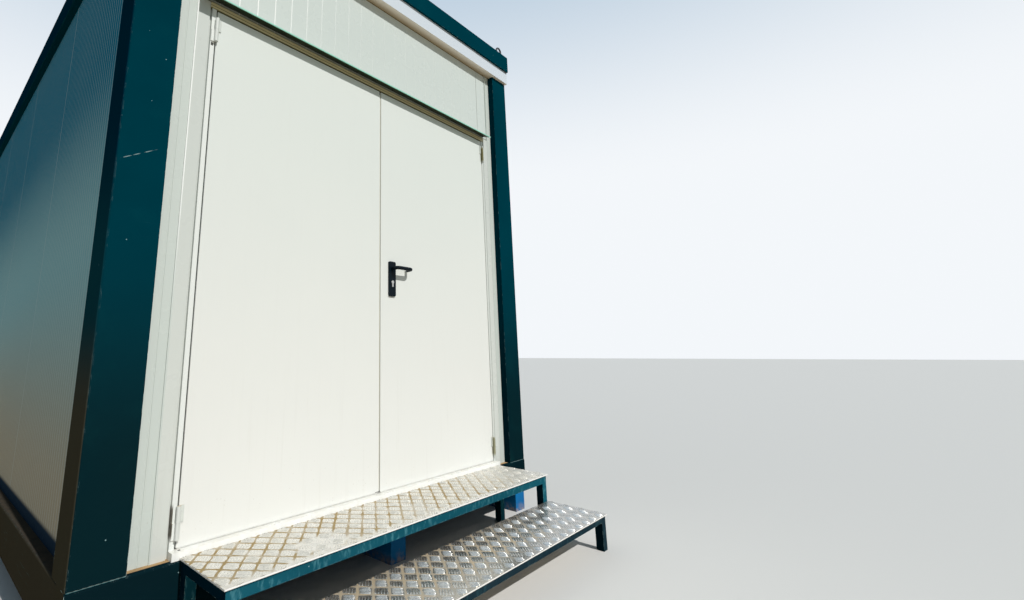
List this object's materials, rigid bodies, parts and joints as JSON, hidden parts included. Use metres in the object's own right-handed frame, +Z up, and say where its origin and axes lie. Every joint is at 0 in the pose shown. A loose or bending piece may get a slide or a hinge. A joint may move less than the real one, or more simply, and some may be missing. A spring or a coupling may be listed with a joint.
{
  "type": "portable site cabin",
  "caption": "Steel-framed portable site cabin with grooved white panels, a double door with lever and hinges, two-tier tread plate steps and support blocks.",
  "frame": {"origin": "middle of the bounding box on the level ground under the support blocks", "axes": "+Z up, +Y from the door side to the back, +X to the right seen from the door side"},
  "size_m": [2.438, 6.723, 3.1239],
  "materials": {
    "frame_paint": "gloss teal paint, dusty",
    "step_paint": "gloss teal paint, worn at the edges",
    "tread_plate": "patterned plate, worn bright with dirt between the bars",
    "panel_paint": "gloss white coated sheet",
    "trim_paint": "gloss white coated sheet",
    "leaf_paint": "smooth gloss white",
    "door_frame_paint": "satin white",
    "black_plastic": "satin black",
    "lock_steel": "satin",
    "zinc_sheet": "galvanised",
    "roof_sheet": "galvanised, weathered",
    "floor_board": "sealed board",
    "ceiling_board": "satin white",
    "block_paint": "gloss blue paint, dusty",
    "eye_paint": "black paint"
  },
  "bodies": {
    "cabin": {"base_rail_front": "frame_paint", "base_rail_back": "frame_paint", "base_rail_left": "frame_paint", "base_rail_right": "frame_paint", "post_front_left": "frame_paint", "post_front_right": "frame_paint", "post_back_left": "frame_paint", "post_back_right": "frame_paint", "roof_rail_front": "frame_paint", "roof_rail_back": "frame_paint", "roof_rail_left": "frame_paint", "roof_rail_right": "frame_paint", "floor_joists": "zinc_sheet", "floor_tray": "zinc_sheet", "floor_board": "floor_board", "ceiling": "ceiling_board", "roof_sheet": "roof_sheet", "fascia_front": "trim_paint", "fascia_back": "trim_paint", "left_wall_panel_1": "panel_paint", "left_wall_panel_2": "panel_paint", "left_wall_panel_3": "panel_paint", "left_wall_panel_4": "panel_paint", "left_wall_panel_5": "panel_paint", "right_wall_panel_1": "panel_paint", "right_wall_panel_2": "panel_paint", "right_wall_panel_3": "panel_paint", "right_wall_panel_4": "panel_paint", "right_wall_panel_5": "panel_paint", "back_wall_panel_left": "panel_paint", "back_wall_panel_right": "panel_paint", "front_wall_strip_left": "panel_paint", "front_wall_strip_right": "panel_paint", "over_door_panel": "panel_paint", "door_jamb_left": "door_frame_paint", "door_jamb_right": "door_frame_paint", "door_head": "door_frame_paint", "door_threshold": "door_frame_paint", "drip_flashing": "trim_paint", "frame_hinge_halves": "door_frame_paint", "upper_step_frame": "step_paint", "upper_step_tread": "tread_plate", "lower_step_frame": "step_paint", "lower_step_tread": "tread_plate", "support_blocks": "block_paint", "lifting_eyes": "eye_paint"},
    "left_door": {"door_leaf_left": "leaf_paint", "left_leaf_hinge_halves": "door_frame_paint"},
    "right_door": {"door_leaf_right": "leaf_paint", "right_leaf_hinge_halves": "door_frame_paint", "lever_back_plates": "black_plastic", "key_cylinder": "lock_steel"},
    "lever": {"lever_handle": "black_plastic"}
  },
  "joints": [
    {"name": "left_door_hinge", "type": "hinge", "parent": "cabin", "child": "left_door", "pos_m": [-0.906, -2.7065, 1.317], "axis": [0, 0, -1], "range_deg": [0, 110]},
    {"name": "right_door_hinge", "type": "hinge", "parent": "cabin", "child": "right_door", "pos_m": [0.934, -2.7065, 1.317], "axis": [0, 0, 1], "range_deg": [0, 110]},
    {"name": "lever_pivot", "type": "hinge", "parent": "right_door", "child": "lever", "pos_m": [0.0935, -2.6775, 1.374], "axis": [0, 1, 0], "range_deg": [0, 40], "stiffness_Nm_per_rad": 1.2, "springref_deg": -20.05}
  ]
}
